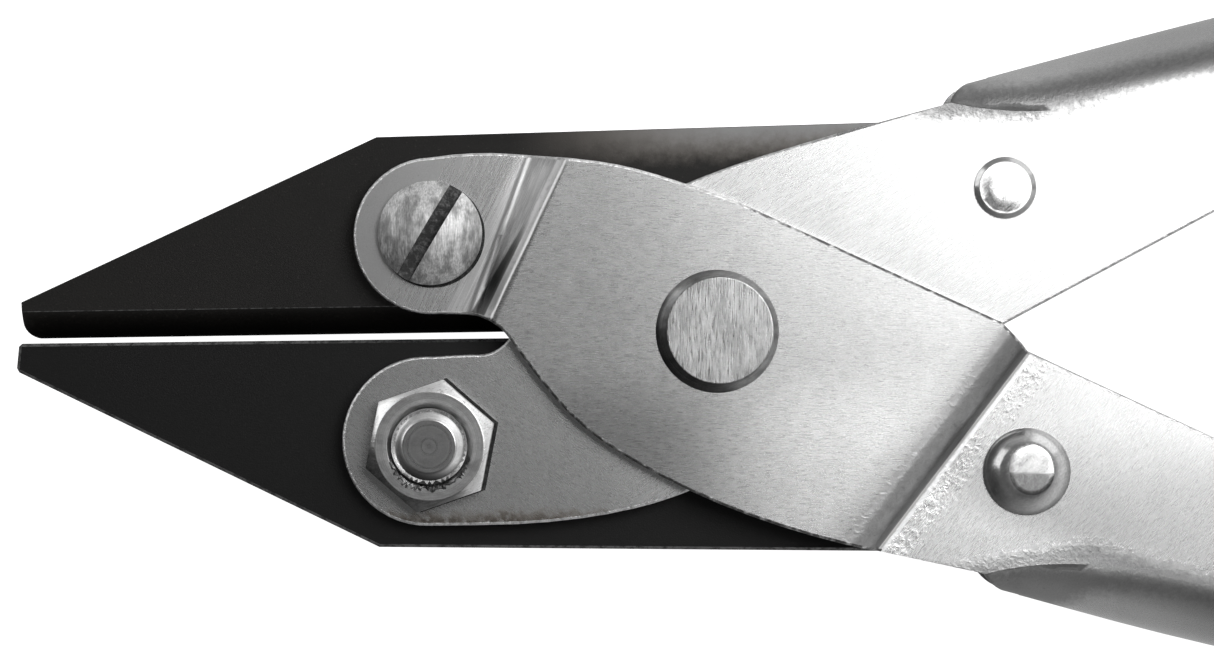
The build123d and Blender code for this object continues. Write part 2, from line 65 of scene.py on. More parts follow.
# ---- node helpers --------------------------------------------------------------------------
class Nodes:
    """A material's node tree, with one short call for each kind of node."""

    def __init__(self, name):
        self.material = bpy.data.materials.new(name)
        self.material.use_nodes = True
        self.tree = self.material.node_tree
        self.tree.nodes.clear()
        surface = self.tree.nodes.new("ShaderNodeOutputMaterial").inputs["Surface"]
        self.shader = self.tree.nodes.new("ShaderNodeBsdfPrincipled")
        self.tree.links.new(self.shader.outputs[0], surface)

    def put(self, socket, value):
        if isinstance(value, bpy.types.NodeSocket):
            self.tree.links.new(value, socket)
        elif value is not None:
            socket.default_value = value

    def node(self, kind, inputs=(), **settings):
        n = self.tree.nodes.new(kind)
        for key, value in settings.items():
            setattr(n, key, value)
        for key, value in dict(inputs).items():
            self.put(n.inputs[key], value)
        return n

    def place(self):
        """Where a point of the surface is, in millimetres from the main pivot."""
        here = self.node("ShaderNodeTexCoord").outputs["Object"]
        return self.vector("MULTIPLY", self.vector("SUBTRACT", here, PIVOT), (1000, 1000, 1000))

    def math(self, operation, a, b=None, c=None):
        n = self.node("ShaderNodeMath", operation=operation)
        for socket, value in zip(n.inputs, (a, b, c)):
            self.put(socket, value)
        return n.outputs[0]

    def times(self, first, *others):
        for other in others:
            first = self.math("MULTIPLY", first, other)
        return first

    def vector(self, operation, a, b=None):
        n = self.node("ShaderNodeVectorMath", operation=operation)
        self.put(n.inputs[0], a)
        self.put(n.inputs[1], b)
        return n.outputs["Value" if operation in ("DOT_PRODUCT", "LENGTH") else 0]

    def noise(self, vector, scale, detail=2.0, roughness=0.55, distortion=0.0):
        n = self.node("ShaderNodeTexNoise", {
            "Vector": vector,
            "Scale": scale,
            "Detail": detail,
            "Roughness": roughness,
            "Distortion": distortion,
        })
        return n.outputs["Fac"]

    def speck(self, vector, scale):
        """Fine grain, from 0 to 1."""
        return self.ramp(self.noise(vector, scale, 2.0, 0.7), 0.3, 0.7)

    def ramp(self, value, low, high, to_low=0.0, to_high=1.0):
        """The value, eased from to_low at low to to_high at high."""
        n = self.node("ShaderNodeMapRange", {
            "Value": value,
            "From Min": low,
            "From Max": high,
            "To Min": to_low,
            "To Max": to_high,
        }, interpolation_type="SMOOTHSTEP")
        return n.outputs[0]

    def mix(self, share, a, b):
        n = self.node("ShaderNodeMix", data_type="FLOAT")
        self.put(n.inputs[0], share)
        self.put(n.inputs[2], a)
        self.put(n.inputs[3], b)
        return n.outputs[0]

    def beyond(self, here, point, degrees):
        """How far a place lies past a line through the point, measured in that direction."""
        a = math.radians(degrees)
        way = (math.cos(a), math.sin(a), 0)
        start = point[0] * way[0] + point[1] * way[1]
        return self.math("SUBTRACT", self.vector("DOT_PRODUCT", here, way), start)

    def ragged(self, distance, size, *noise):
        """The distance, wandering by that many millimetres in all, to give a ragged border."""
        wander = self.math("MULTIPLY_ADD", self.noise(*noise), size, -size / 2)
        return self.math("ADD", distance, wander)

    def band(self, value, low, high, soft):
        """1 between low and high, 0 outside, eased over that far on each side of both."""
        rise = self.ramp(value, low - soft, low + soft)
        fall = self.ramp(value, high - soft, high + soft, 1.0, 0.0)
        return self.math("MULTIPLY", rise, fall)

    def lines(self, here, degrees, length, width, low=0.3, high=0.7):
        """Brush lines that run in that direction, from 0 to 1."""
        turn = {"Vector": here, "Angle": -math.radians(degrees)}
        turned = self.node("ShaderNodeVectorRotate", turn, rotation_type="Z_AXIS").outputs[0]
        squeezed = self.vector("MULTIPLY", turned, (1 / length, 1 / width, 1 / width))
        return self.ramp(self.noise(squeezed, 1.0, 3.0, 0.6), low, high)

    def grey(self, value, warm=0.0):
        """A neutral colour of that brightness; warm tints it towards brown."""
        n = self.node("ShaderNodeCombineColor", {
            "Red": self.math("MULTIPLY", value, self.math("ADD", warm, 1.0) if warm else 1.0),
            "Green": value,
            "Blue": self.math("MULTIPLY", value, self.math("SUBTRACT", 1.0, warm) if warm else 1.0),
        })
        return n.outputs[0]

    def varied(self, base, *layers):
        """The base value times 1 + strength x (layer - 0.5) for each (layer, strength)."""
        for layer, strength in layers:
            change = self.math("MULTIPLY_ADD", layer, strength, 1 - strength / 2)
            base = self.math("MULTIPLY", base, change)
        return base

    def plus(self, value, *layers):
        """The value plus strength x layer for each (layer, strength)."""
        for layer, strength in layers:
            value = self.math("MULTIPLY_ADD", layer, strength, value)
        return value

    def scaled(self, value, *layers):
        """The value, of which the share is left where the layer is 1, for each (layer, share)."""
        return self.times(value, *(self.mix(layer, 1.0, share) for layer, share in layers))

    def bump(self, height, depth):
        """Relief: a height of 1 is that deep in millimetres."""
        n = self.node("ShaderNodeBump", {"Height": height, "Strength": 1.0, "Distance": depth * MM})
        return n.outputs[0]

    def finish(self, colour, roughness, normal=None, **constants):
        self.put(self.shader.inputs["Base Color"], colour)
        self.put(self.shader.inputs["Roughness"], roughness)
        if normal is not None:
            self.put(self.shader.inputs["Normal"], normal)
        for key, value in constants.items():
            self.shader.inputs[key.replace("_", " ")].default_value = value
        return self.material


# ---- materials -----------------------------------------------------------------------------
# Places in the materials are in millimetres from the main pivot, and ways in degrees from +X.
SHEET_GREY = 0.62
SHEET_ROUGH = 0.27
SHEET_RELIEF = 0.001             # millimetres
DENT_DEPTH = 9.0                 # times the sheet's relief
DULL = 0.12                      # how much rougher the sheet is where it was bent by hand
FRONT_STEP = (-15.05, 1.05)      # a point of the front step's upper edge
FRONT_STEP_TURN = -26.45         # the way across it, towards the pivot
REAR_STEP_TURN = -37.9           # the way across the rear step, towards the handle's end
REAR_STEP_FOOT = 17.25           # how far it is from the pivot
REAR_BEND = (14.5, 16.3)         # where the raised cheek eases down towards the rear step
REAR_BEND_SINK = 120.0           # by how much, times the sheet's relief
# Where the flat of each handle's cheek ends: a point of the line and the way across it, outwards,
# first along the handle and then beside the start of the fold.
INNER_BEND = ((18.7, 14.3), 101.1)
INNER_BEND_START = ((15.7, 14.98), 88.4)
OUTER_BEND = ((24.6, -15.0), -103.4)
OUTER_BEND_START = ((17.6, -16.28), -79.6)
OUTER_BEND_SPREAD = 2.5          # how much farther out the dullness reaches beside that start
CENTRE = (0, 0)


def steel(n, value, rough, relief, depth):
    return n.finish(n.grey(value), rough, n.bump(relief, depth), Metallic=1.0)


def bend_wear_and_shade(n, here, bend, bend_start, spread):
    """Where the flat of a cheek runs into its rolled back: dull, dented, and painted darker as shade of the
    turning bend, with a ragged border.
    """
    out = n.math("MINIMUM", n.beyond(here, *bend), n.beyond(here, *bend_start))
    out = n.ragged(out, 1.6, here, 2.2, 4.0, 0.7)
    start = n.ramp(n.beyond(here, CENTRE, 0), 19.0, 31.0, 1.0, 0.0)
    inside = n.ramp(n.plus(out, (start, 0.6)), -0.9, 0.3)
    outside = n.ramp(n.plus(out, (start, -spread)), 0.5, 2.0, 1.0, 0.0)
    hammer_marks = n.ramp(n.noise(here, 3.0, 3.0, 0.65, 0.4), 0.35, 0.7)
    dents = n.times(n.band(out, -1.0, 1.2, 0.5), hammer_marks, n.mix(start, 0.3, 1.0))
    return n.math("MULTIPLY", inside, outside), dents


def front_step_marks_and_light(n, here, front, lobe):
    """The front step: a painted highlight along its upper edge, scored, a streaked painted highlight towards one
    end, and painted shade low at its foot.
    """
    up = n.beyond(here, FRONT_STEP, FRONT_STEP_TURN + 90)
    worn = n.ramp(n.noise(here, 2.5, 2.0), 0.25, 0.5, 0.6, 1.0)
    # Painted highlight along the step's upper edge.
    crest_highlight = n.times(n.band(front, -0.5, 0.15, 0.1), worn)
    scores = n.ramp(n.lines(here, FRONT_STEP_TURN + 90, 5.0, 0.06), 0.62, 0.8)
    scored = n.times(n.ramp(front, -5.0, -1.0), scores, lobe)
    streaks = n.lines(here, FRONT_STEP_TURN + 94, 3.0, 0.12, 0.25, 0.65)
    streaked = n.mix(0.5, streaks, 1.0)
    # Painted highlight, streaked, on the upper part of the ramp.
    ramp_highlight = n.times(n.band(front, -3.0, -0.4, 0.5), n.ramp(up, 4.5, 8.5), streaked)
    # Painted shade in a wedge at the step's foot.
    wedge = n.math("SUBTRACT", front, n.math("MULTIPLY_ADD", up, 0.09, -1.25))
    low_part = n.ramp(front, -0.42, -0.32, 1.0, 0.0)
    front_foot_shade = n.times(n.ramp(wedge, -0.08, 0.08), low_part, n.ramp(up, 4.5, 7.5, 1.0, 0.0))
    return crest_highlight, scored, ramp_highlight, front_foot_shade


def rear_step_marks_and_light(n, here, rear):
    """The rear step: a painted highlight along its foot, painted shade above it, hammered on both sides."""
    worn = n.ramp(n.noise(here, 2.0, 2.0), 0.25, 0.5, 0.5, 1.0)
    # Painted highlight: a bright line along the step's foot.
    foot = n.times(n.band(rear, REAR_STEP_FOOT + 0.02, REAR_STEP_FOOT + 0.42, 0.06), worn)
    ragged = n.ragged(rear, 1.0, here, 1.6, 4.0, 0.65)
    above_foot = n.ramp(rear, REAR_STEP_FOOT - 0.04, REAR_STEP_FOOT + 0.04, 1.0, 0.0)
    shade = n.times(n.ramp(ragged, REAR_STEP_FOOT - 1.7, REAR_STEP_FOOT - 0.1), above_foot)
    hammer_marks = n.ramp(n.noise(here, 2.4, 3.0, 0.65, 0.6), 0.4, 0.7)
    uneven = n.ramp(n.noise(here, 0.3, 1.0), 0.3, 0.5, 0.3, 1.0)
    either_side = n.band(rear, REAR_STEP_FOOT - 2.2, REAR_STEP_FOOT + 1.9, 0.7)
    return foot, shade, n.times(either_side, hammer_marks, uneven)


def outer_painted_light(n, here, rear, tail, lobe):
    """Painted light and shade: darker towards the throat and before the rear step, brighter along the handle's
    back and on its tail, the lobe a little darker.
    """
    along = n.beyond(here, CENTRE, 0)
    below = n.ramp(n.beyond(here, CENTRE, -90), 1.0, 7.0)
    low_back = n.math("MULTIPLY_ADD", below, n.ramp(along, -5.0, 6.0, -0.35, 0.38), 1.0)
    before_step = n.ramp(rear, 12.5, 16.0, 1.0, 0.64)
    cheek = n.times(n.ramp(along, -9.0, 6.0, 0.76, 1.04), before_step, low_back)
    beyond_step = n.times(
        n.ramp(n.beyond(here, (0, -12), 90), 0.0, 6.0, 0.84, 1.08),
        n.ramp(n.beyond(here, (19, -11.5), -120), -1.0, 2.5, 1.0, 1.6),
    )
    return n.mix(lobe, n.mix(tail, cheek, beyond_step), 0.84)


def outer_sheet():
    """The outer handle: ground along its front step, brushed along its raised cheek."""
    n = Nodes("outer_sheet")
    here = n.place()
    front = n.beyond(here, FRONT_STEP, FRONT_STEP_TURN)
    rear = n.beyond(here, CENTRE, REAR_STEP_TURN)
    lobe = n.ramp(front, -0.5, 0.0, 1.0, 0.0)
    tail = n.ramp(rear, REAR_STEP_FOOT - 0.3, REAR_STEP_FOOT + 0.3)

    along_step = n.lines(here, FRONT_STEP_TURN + 90, 4.0, 0.08)
    along_step = n.mix(n.ramp(front, -8.0, -3.0), 0.5, along_step)
    along_cheek = n.lines(here, -2, 0.8, 0.06)
    along_tail = n.lines(here, REAR_STEP_TURN + 90, 0.9, 0.07)
    brushed = n.mix(lobe, n.mix(tail, along_cheek, along_tail), along_step)
    speck = n.speck(here, 9.0)
    cloud = n.noise(here, 0.35, 3.0)
    pits = n.ramp(n.noise(here, 3.2, 2.0, 0.6), 0.68, 0.73)
    border, dents = bend_wear_and_shade(n, here, OUTER_BEND, OUTER_BEND_START, OUTER_BEND_SPREAD)
    crest_highlight, scored, ramp_highlight, front_foot_shade = front_step_marks_and_light(n, here, front, lobe)
    foot, shade, hammered = rear_step_marks_and_light(n, here, rear)

    value = n.varied(SHEET_GREY, (brushed, 0.1), (speck, 0.1), (cloud, 0.16))
    # Painted light and shade over the whole sheet.
    value = n.times(value, outer_painted_light(n, here, rear, tail, lobe))
    # Painted highlights on the front step's edge and ramp; the scores are real.
    value = n.plus(value, (crest_highlight, 0.35), (scored, 0.16), (ramp_highlight, 0.25))
    # Painted shade at the front step's foot, along the bend and above the rear step; the pits are real.
    value = n.scaled(value, (front_foot_shade, 0.2), (pits, 0.8), (border, 0.56), (shade, 0.4))
    # Painted highlight along the rear step's foot.
    value = n.math("MINIMUM", n.plus(value, (foot, 0.45)), 1.0)
    rough = n.plus(
        SHEET_ROUGH - 0.02,
        (brushed, 0.05),
        (n.math("MAXIMUM", crest_highlight, foot), 0.15),
        (border, DULL),
        (n.band(rear, 15.3, REAR_STEP_FOOT, 0.5), 0.18),
        (n.band(front, -2.6, -0.3, 0.5), 0.06),
    )
    relief = n.plus(
        n.times(brushed, 0.5),
        (speck, 0.5),
        (n.math("MAXIMUM", hammered, dents), DENT_DEPTH),
        (n.ramp(rear, *REAR_BEND), -REAR_BEND_SINK),
    )
    return steel(n, value, rough, relief, SHEET_RELIEF)


def inner_sheet():
    """The inner handle: brushed on the slant, stained along the lower edge of its lobe, with painted shade on its
    lobe and along its bend.
    """
    n = Nodes("inner_sheet")
    here = n.place()
    arm = n.ramp(n.beyond(here, (-9, 0), 20), -3.0, 3.0)
    slanted = n.lines(here, 33, 1.6, 0.08)
    faint = n.mix(0.4, 0.5, n.lines(here, -38, 0.5, 0.06))
    brushed = n.mix(arm, faint, slanted)
    speck = n.speck(here, 9.0)
    cloud = n.noise(here, 0.35, 3.0)
    scratches = n.times(n.ramp(n.lines(here, 31, 3.0, 0.06, 0.2, 0.8), 0.78, 0.92), arm)
    low = n.ragged(n.beyond(here, (-19, -12.0), -90), 1.4, here, 1.0, 3.0, 0.6)
    patchy = n.ramp(n.noise(here, 2.4, 3.0, 0.6), 0.3, 0.55)
    stain = n.times(n.ramp(low, -0.5, 0.5), patchy, n.ramp(arm, 0.0, 1.0, 1.0, 0.6))
    border, dents = bend_wear_and_shade(n, here, INNER_BEND, INNER_BEND_START, 0.0)

    # Painted shade: the lobe is painted darker than the arm; the sheet is also darker towards its far end.
    far_end = n.ramp(n.beyond(here, CENTRE, 0), 15.0, 32.0, 1.0, 0.82)
    value = n.varied(SHEET_GREY, (brushed, 0.1), (speck, 0.1), (cloud, 0.14))
    value = n.times(value, n.times(n.mix(arm, 0.78, 1.0), far_end))
    # Painted shade along the bend; the scratches and the stain are real.
    value = n.scaled(n.plus(value, (scratches, 0.08)), (stain, 0.3), (border, 0.5))
    rough = n.plus(SHEET_ROUGH - 0.02, (brushed, 0.05), (border, DULL))
    relief = n.plus(n.times(brushed, 0.5), (speck, 0.5), (dents, DENT_DEPTH))
    colour = n.grey(value, n.times(stain, 0.12))
    return n.finish(colour, rough, n.bump(relief, SHEET_RELIEF), Metallic=1.0)


def filed_edge(name, dark=None):
    """The sheet's hand-filed edges: paler than its faces, partly as bare filed steel and partly as a painted
    highlight, but black where dark says so.
    """
    n = Nodes(name)
    here = n.place()
    chips = n.ramp(n.noise(here, 3.0, 3.0, 0.65), 0.35, 0.6)
    fine = n.noise(here, 9.0, 2.0)
    # Paler filed steel, made paler still as a painted highlight.
    value = n.varied(0.8, (chips, 0.4), (fine, 0.3))
    if dark:
        value = n.scaled(value, (dark(n, here), 0.2))
    return steel(n, value, n.plus(0.3, (fine, 0.15)), n.plus(fine, (chips, 3.0)), 0.008)


def tucked_edge_shadow(n, here):
    """A painted shadow, in dashes, where the raised cheek's edge lies over the inner handle."""
    behind_pivot = n.ramp(n.beyond(here, CENTRE, 0), 1.0, 3.0)
    upper = n.times(behind_pivot, n.ramp(n.beyond(here, CENTRE, 90), -3.0, -1.0))
    below_pivot = n.ramp(n.beyond(here, CENTRE, -120), 6.1, 6.7)
    lower = n.times(below_pivot, n.ramp(n.beyond(here, FRONT_STEP, FRONT_STEP_TURN), -0.4, 0.4))
    dashes = n.ramp(n.noise(here, 1.6, 3.0, 0.6), 0.35, 0.55, 0.2, 1.0)
    return n.times(n.math("MAXIMUM", upper, lower), dashes)


def darkened_lip(n, here):
    """Darkens all of the torn lip but a few bright spots."""
    return n.ramp(n.noise(here, 1.3, 2.0), 0.46, 0.58, 1.0, 0.3)


def black_oxide():
    """The jaws: chemically blackened steel, dusty, paler where the rear of the upper jaw rubs."""
    n = Nodes("black_oxide")
    here = n.place()
    upper = n.ramp(n.beyond(here, (0, -0.1), 90), -0.1, 0.1)
    grain = n.ramp(n.noise(here, 9.0, 2.0, 0.7), 0.3, 0.75)
    dust = n.ramp(n.noise(here, 4.5, 2.0, 0.6), 0.63, 0.72)
    cloud = n.noise(here, 0.22, 3.0, 0.6)
    rise = n.ragged(n.beyond(here, (0, 12.4), 91.8), 1.6, here, 1.0, 4.0, 0.7)
    rubbed = n.times(n.ramp(rise, -1.6, 1.3), n.ramp(n.beyond(here, (-10, 0), 0), -4.0, 12.0))
    value = n.varied(0.0075, (grain, 0.7), (cloud, 0.7))
    value = n.times(value, n.mix(upper, 0.3, 1.0))
    value = n.plus(value, (n.times(dust, n.mix(upper, 0.4, 1.0)), 0.012), (rubbed, 0.34))
    warm = n.times(upper, n.math("SUBTRACT", 1.0, rubbed), 0.12)
    rough = n.plus(0.42, (grain, 0.16))
    return n.finish(n.grey(value, warm), rough, n.bump(grain, 0.004), Specular_IOR_Level=0.3)


def oxide_edge():
    """The jaws' broken edges, where the black has worn through to grey steel."""
    n = Nodes("oxide_edge")
    here = n.place()
    chips = n.ramp(n.noise(here, 2.2, 3.0, 0.65), 0.35, 0.62)
    fine = n.noise(here, 8.0, 2.0)
    value = n.plus(0.03, (fine, 0.05), (chips, 0.13))
    return n.finish(n.grey(value), n.plus(0.4, (fine, 0.1)), n.bump(chips, 0.006), Metallic=0.6)


def fastener(name, degrees, base, mottle, lines, rough, depth=0.003, centre=None, shaded_side=None):
    """Ground or hammered steel with marks in one direction and a mottled tarnish.

    mottle and lines are how strong the tarnish and the marks are. With a centre, the marks are rings that a lathe
    left round it. The last argument paints shade on one side: a point, a direction, how far past the point in that
    direction the steel starts to darken and is dark, and the share of its brightness that is left there."""
    n = Nodes(name)
    here = n.place()
    if centre is None:
        marks = n.lines(here, degrees, 1.1, 0.09)
    else:
        flat = n.vector("MULTIPLY", n.vector("SUBTRACT", here, from_pivot(centre)), (1, 1, 0))
        reach = n.node("ShaderNodeCombineXYZ", {"X": n.vector("LENGTH", flat)}).outputs[0]
        marks = n.ramp(n.noise(reach, 4.5, 3.0, 0.6), 0.3, 0.7)
    patches = n.lines(here, degrees, 1.6, 0.75, 0.34, 0.64)
    speck = n.speck(here, 7.5)
    value = n.varied(base, (marks, lines), (patches, mottle), (speck, 0.15))
    # Painted shade: the steel darkened on one side.
    if shaded_side:
        point, way, start, end, left = shaded_side
        value = n.times(value, n.ramp(n.beyond(here, point, way), start, end, 1.0, left))
    relief = n.plus(marks, (speck, 0.5), (patches, 1.2))
    return steel(n, value, n.plus(rough - 0.05, (marks, 0.1)), relief, depth)


def grime_and_shade(name, base):
    """A dark fill of settled muck and painted shade, with paler flecks, for the screw's slot and the gaps round
    the fasteners.
    """
    n = Nodes(name)
    here = n.place()
    flecks = n.ramp(n.noise(here, 3.5, 3.0, 0.6), 0.4, 0.75)
    value = n.plus(base, (flecks, 2.5 * base))
    return n.finish(n.grey(value), n.plus(0.6, (flecks, -0.2)), n.bump(flecks, 0.02), Metallic=0.4)


# ---- pieces --------------------------------------------------------------------------------
# Heights are above the middle plane, on either side of it.
LOW_OUT = 6.1 * MM                    # a lowered cheek's outer face
HIGH_OUT = 8.15 * MM                  # a raised cheek's
HEAD_TOP = LOW_OUT + 2.1 * MM
HEAD_R = 3.45 * MM
SLOT_TURN = math.radians(58.7)        # from +X
SLOT_HALF = 0.5 * MM
SLOT_DEPTH = 1.2 * MM
NUT_TOP = LOW_OUT + 2.6 * MM
NUT_FLAT_R = 3.875 * MM
END_R = 1.8 * MM                      # the flat on a screw's end
END_RIM = NUT_TOP + 0.56 * MM         # the worn edge round the screw's end
END_ROUND = 0.1 * MM                  # how far the flat's own edge is rounded
DOME_TOP = LOW_OUT + 1.7 * MM         # of a slide rivet
DOME_CUT = 0.42 * MM                  # how much the hammer took off it
DOME_SHIFT = (0.25 * MM, -0.1 * MM)   # how far off centre the flat is that it left
DOME_SLOPE = 0.012                    # and how much off level
CLOSED_TOP = LOW_OUT + 0.75 * MM      # the rivet's low closed end
CLOSED_CUT = 0.2 * MM                 # how much the hammer took off that
RIVET_FACE = HIGH_OUT + 0.4 * MM      # above the main rivet's bevel
RIVET_SHIFT = (0.17 * MM, 0.05 * MM)  # how far off centre its face is ground
LIP_TURNS = (-165, -15)               # degrees round a screw's end, where its lip is torn
LIP_STEPS = 64
LIP_R = 2.62                          # millimetres
LIP_FOOT = NUT_TOP - 0.5 * MM
LIP_SEED = 3
PATCH_SUNK = 0.03 * MM                # how deep the painted shadow round a fastener goes into the sheet
PATCH_RISE = 0.015 * MM
FOLD_START_X = (14 * MM, 34 * MM)     # from the main pivot
FOLD_START_Y = 12.8 * MM

# Millimetres broken off the hard edges.
JAW_EDGE = 0.2
SHEET_EDGE = 0.18
RIVET_EDGE = 0.07
SCREW_EDGE = 0.06
NUT_EDGE = 0.05

SAME_PLACE = 2e-6                     # corners of the CAD's mesh that are this close are one
SAME_PLANE = math.radians(0.05)
HAMMERED_PLANE = math.radians(0.6)

# A face's place in its piece's list of materials.
BEVEL = 1                             # of a main rivet
FLAT = 2                              # of a slide rivet
SLOT_FLOOR, SLOT_WALL, TIP, CONE = 2, 3, 4, 5
NUT_FACE, CHAMFER, BORE = 0, 1, 2


def from_axis(place, centre):
    """A place measured from a fastener's axis and the middle plane."""
    return Vector((place.x - centre.x, place.y - centre.y, place.z - PIVOT.z))


def at_fold_start(place):
    """Where a cheek's edge turns out into the rolled back, in facets too small to round."""
    low, high = FOLD_START_X
    return low < place.x - PIVOT.x < high and abs(place.y) > FOLD_START_Y


def is_rim(edge):
    """Whether an edge of the sheet is cut, not bent: one of its sides then stands upright."""
    return min(abs(face.normal.z) for face in edge.link_faces) < 0.25


def refined(node, materials, edge, segments, smooth_angle, hard_angle=32, choose=None,
            reshape=None, folded=False):
    """The node's own shape with its hard edges broken, standing for the node.

    materials are the faces', then the broken edges', then what choose gives by number. Of folded
    sheet, only the cut edges are broken."""
    mesh = NODES[node].data.copy()
    mesh.materials.clear()
    for material in materials:
        mesh.materials.append(material)
    b = bmesh.new()
    b.from_mesh(mesh)
    for face in b.faces:
        face.material_index = 0
    bmesh.ops.remove_doubles(b, verts=b.verts, dist=SAME_PLACE)
    bmesh.ops.dissolve_limit(b, angle_limit=SAME_PLANE, verts=b.verts, edges=b.edges)
    if reshape:
        reshape(b)
    limit = math.radians(hard_angle)
    hard = [e for e in b.edges if len(e.link_faces) == 2 and e.calc_face_angle(0) > limit]
    if folded:
        hard = [e for e in hard if is_rim(e) and not any(at_fold_start(v.co) for v in e.verts)]
    bmesh.ops.bevel(b, geom=hard, offset=edge * MM, offset_type="OFFSET", segments=segments,
                    profile=0.5, affect="EDGES", clamp_overlap=not folded, miter_outer="ARC",
                    material=1)
    if choose:
        for face in b.faces:
            number = choose(face)
            if number is not None:
                face.material_index = number
    b.to_mesh(mesh)
    b.free()
    smooth(mesh, smooth_angle)
    piece = add(node + "_body", mesh, BODY_OF[node])
    weighted = piece.modifiers.new("weighted", "WEIGHTED_NORMAL")
    weighted.keep_sharp = True
    weighted.weight = 100
    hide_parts(node)


def smooth(mesh, degrees):
    """Shades the mesh smooth, but for the edges that are sharper than that."""
    mesh.polygons.foreach_set("use_smooth", [True] * len(mesh.polygons))
    mesh.set_sharp_from_angle(angle=math.radians(degrees))


def add(name, mesh, body):
    piece = bpy.data.objects.new(name, mesh)
    bpy.context.scene.collection.objects.link(piece)
    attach(piece, body)
    return piece


def add_solid(name, b, material, body):
    """A closed shape of one material that goes with the screws."""
    bmesh.ops.recalc_face_normals(b, faces=b.faces)
    mesh = bpy.data.meshes.new(name)
    b.to_mesh(mesh)
    b.free()
    mesh.materials.append(material)
    return add(name, mesh, body)


# The side of a screw is 1 if its head is in front, and -1 if its head is behind. The side of a
# slide rivet is where its dome is, and the side of anything else is where it is itself.
def end_or_slot(centre, side):
    """The walls and floor of the slot in a screw's head, and the flat and cone of its end."""
    across = Vector((-math.sin(SLOT_TURN), math.cos(SLOT_TURN), 0))
    floor_height = HEAD_TOP - SLOT_DEPTH + 0.05 * MM

    def number(face):
        place = from_axis(face.calc_center_median(), centre)
        height = place.z * side
        if -height > NUT_TOP + 0.5 * MM:
            return TIP if abs(face.normal.z) > 0.97 else CONE
        if height < LOW_OUT or abs(place.dot(across)) > SLOT_HALF:
            return None
        if abs(face.normal.dot(across)) > 0.8:
            return SLOT_WALL
        return SLOT_FLOOR if abs(face.normal.z) > 0.98 and height < floor_height else None

    return number


def worn_end(centre, side):
    """The screw's end is worn low and round where its flat meets the bevel."""
    def reshape(b):
        for v in b.verts:
            place = from_axis(v.co, centre)
            if -place.z * side > NUT_TOP + 0.1 * MM and place.xy.length > 2.4 * MM:
                v.co.z = PIVOT.z - side * END_RIM
        rim = []
        for e in b.edges:
            ends = [from_axis(v.co, centre) for v in e.verts]
            if all(-p.z * side > NUT_TOP and abs(p.xy.length - END_R) < 0.1 * MM for p in ends):
                rim.append(e)
        bmesh.ops.bevel(b, geom=rim, offset=END_ROUND, offset_type="OFFSET", segments=4,
                        profile=0.5, affect="EDGES", clamp_overlap=True)

    return reshape


def flatten(centre, side):
    """Both ends of a slide rivet are hammered flat, the dome a little off centre and level."""
    def reshape(b):
        for v in b.verts:
            place = from_axis(v.co, centre)
            if place.z * side > DOME_TOP - DOME_CUT:
                sink = DOME_SLOPE * (place.x + place.y + 1.6 * MM)
                v.co.z = PIVOT.z + side * (DOME_TOP - DOME_CUT - sink)
                v.co.x += DOME_SHIFT[0]
                v.co.y += DOME_SHIFT[1]
            elif -place.z * side > CLOSED_TOP - CLOSED_CUT:
                v.co.z = PIVOT.z - side * (CLOSED_TOP - CLOSED_CUT)
        bmesh.ops.dissolve_limit(b, angle_limit=HAMMERED_PLANE, verts=b.verts, edges=b.edges)

    return reshape


def hammered_flat(centre, side):
    """The flat on a slide rivet's dome."""
    def number(face):
        place = from_axis(face.calc_center_median(), centre)
        on_top = place.z * side > DOME_TOP - DOME_CUT - 0.1 * MM
        return FLAT if on_top and abs(face.normal.z) > 0.999 else None

    return number


def lean(b):
    """The main rivet's face is ground a little off centre."""
    for v in b.verts:
        if abs(v.co.z - PIVOT.z) > RIVET_FACE:
            v.co.x += RIVET_SHIFT[0]
            v.co.y += RIVET_SHIFT[1]


def bevel_ring(face):
    """The main rivet's bevel, round its ground face."""
    tilt = math.degrees(math.acos(min(1, abs(face.normal.z))))
    return BEVEL if 14 < tilt < 70 else 0


def nut_part(centre, side):
    """The nut's turned face, its bright chamfer and its bore."""
    def number(face):
        place = from_axis(face.calc_center_median(), centre)
        tilt = math.degrees(math.acos(max(-1, min(1, face.normal.z * side))))
        outwards = face.normal.x * place.x + face.normal.y * place.y > 0
        if 12 < tilt < 50 and outwards and place.xy.length > 3.5 * MM:
            return CHAMFER
        if not outwards and 70 < tilt < 95 and place.xy.length < 3.1 * MM:
            return BORE
        return NUT_FACE

    return number


def circle(radius, shift):
    steps = 72
    turns = [2 * math.pi * i / steps for i in range(steps)]
    return [(radius * math.cos(t) + shift[0], radius * math.sin(t) + shift[1]) for t in turns]


def hexagon(flat, degrees, shift):
    corner = flat / math.cos(math.pi / 6)
    turns = [math.radians(degrees + 60 * i) for i in range(6)]
    return [(corner * math.cos(t) + shift[0], corner * math.sin(t) + shift[1]) for t in turns]


def shadow_patch(name, centre, corners, body, side, material):
    """A painted shadow on the sheet round a fastener: a thin flat patch that the fastener stands on."""
    b = bmesh.new()
    bottom = PIVOT.z + side * (LOW_OUT - PATCH_SUNK)
    top = PIVOT.z + side * (LOW_OUT + PATCH_RISE)
    low = [b.verts.new((centre.x + x, centre.y + y, bottom)) for x, y in corners]
    high = [b.verts.new((v.co.x, v.co.y, top)) for v in low]
    b.faces.new(low)
    b.faces.new(high)
    for i in range(len(low)):
        j = (i + 1) % len(low)
        b.faces.new((low[i], low[j], high[j], high[i]))
    add_solid(name, b, material, body)


